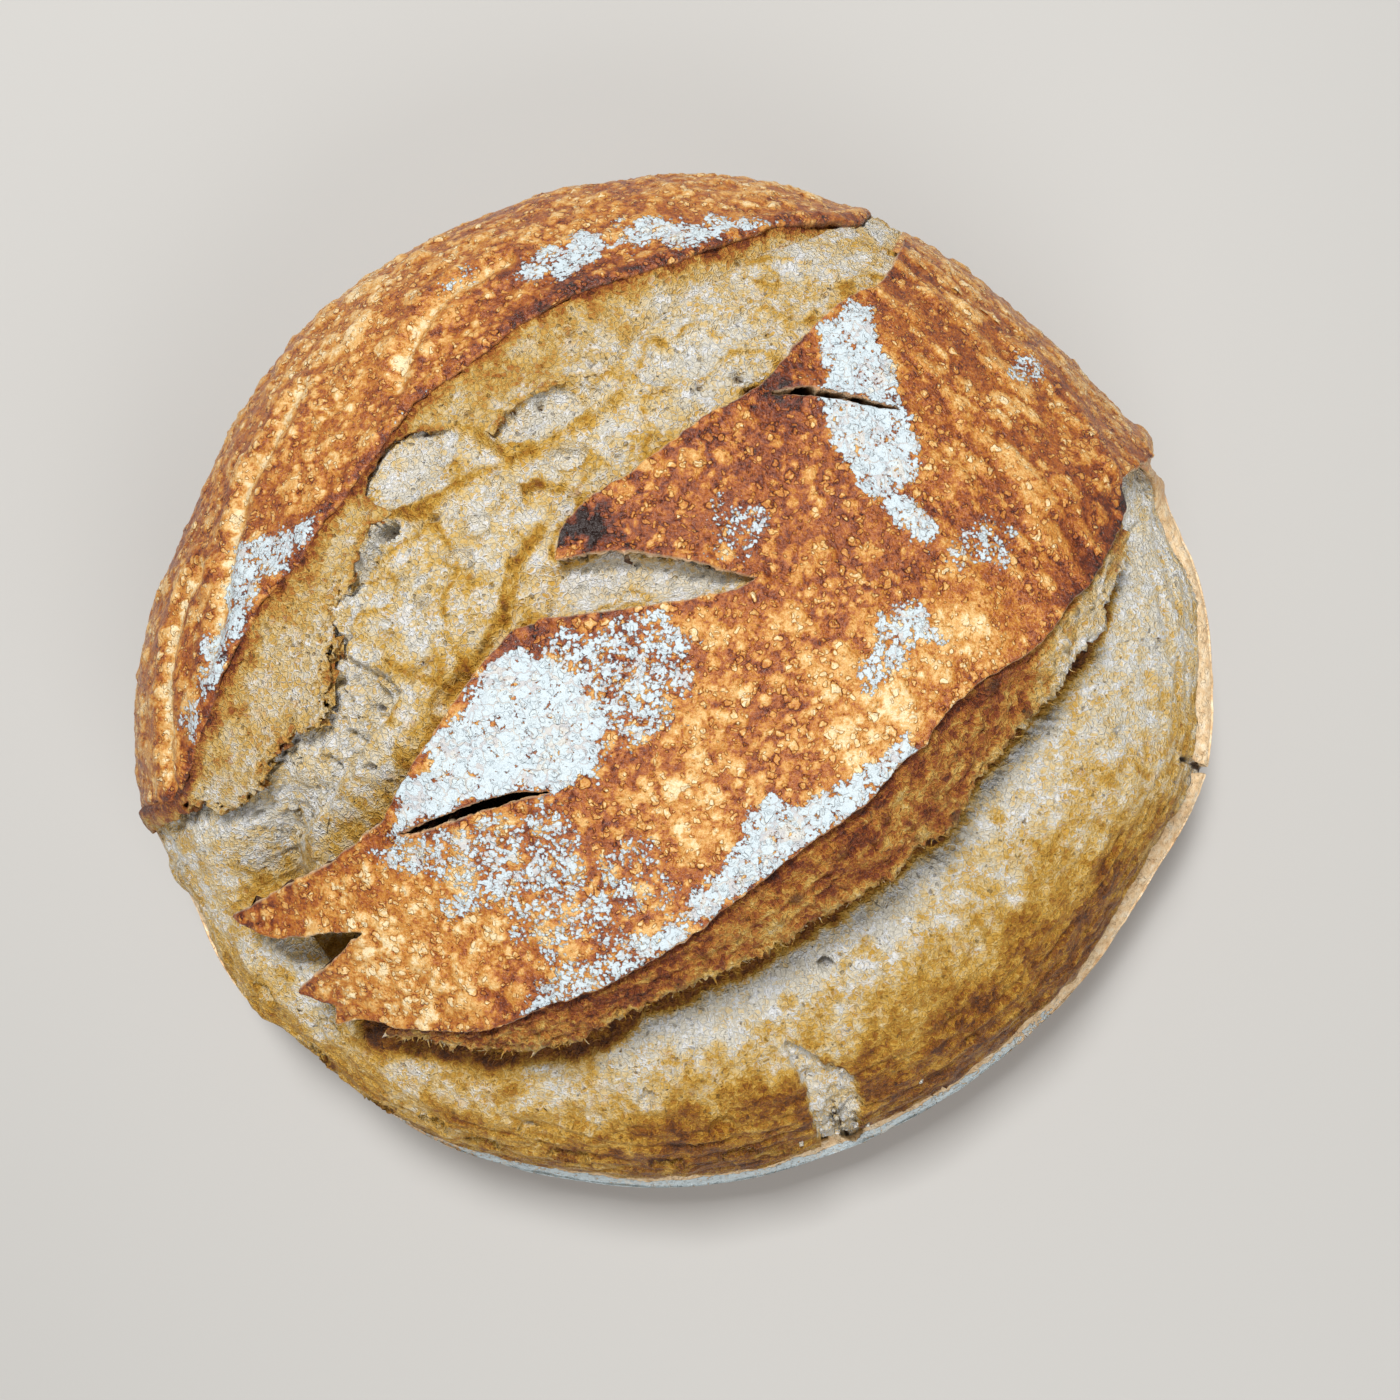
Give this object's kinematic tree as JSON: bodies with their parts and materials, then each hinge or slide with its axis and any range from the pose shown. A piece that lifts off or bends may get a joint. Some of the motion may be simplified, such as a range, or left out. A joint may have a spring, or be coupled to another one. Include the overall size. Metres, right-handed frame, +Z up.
{
  "type": "sourdough loaf",
  "caption": "Round crusty sourdough loaf on a flat base, with a lifted crust ear, torn pale crumb beside it, leaf-shaped slashes and a crescent of darker crust",
  "frame": {"origin": "on the surface the loaf stands on, under the middle of its outline", "axes": "+Z up through the crown; +X towards the end of the loaf where the ear's lip meets the right shoulder; +Y towards the crescent of crust on the far side from the ear"},
  "size_m": [0.2316, 0.2176, 0.0946],
  "materials": {
    "crust": "baked wheat crust, golden to chestnut brown, finely blistered, low sheen, with white flour left in patches",
    "crumb": "torn bread crumb, cream to pale golden, matt, fibrous and full of small open bubbles"
  },
  "bodies": {
    "root": {"loaf": "crust"}
  },
  "joints": []
}
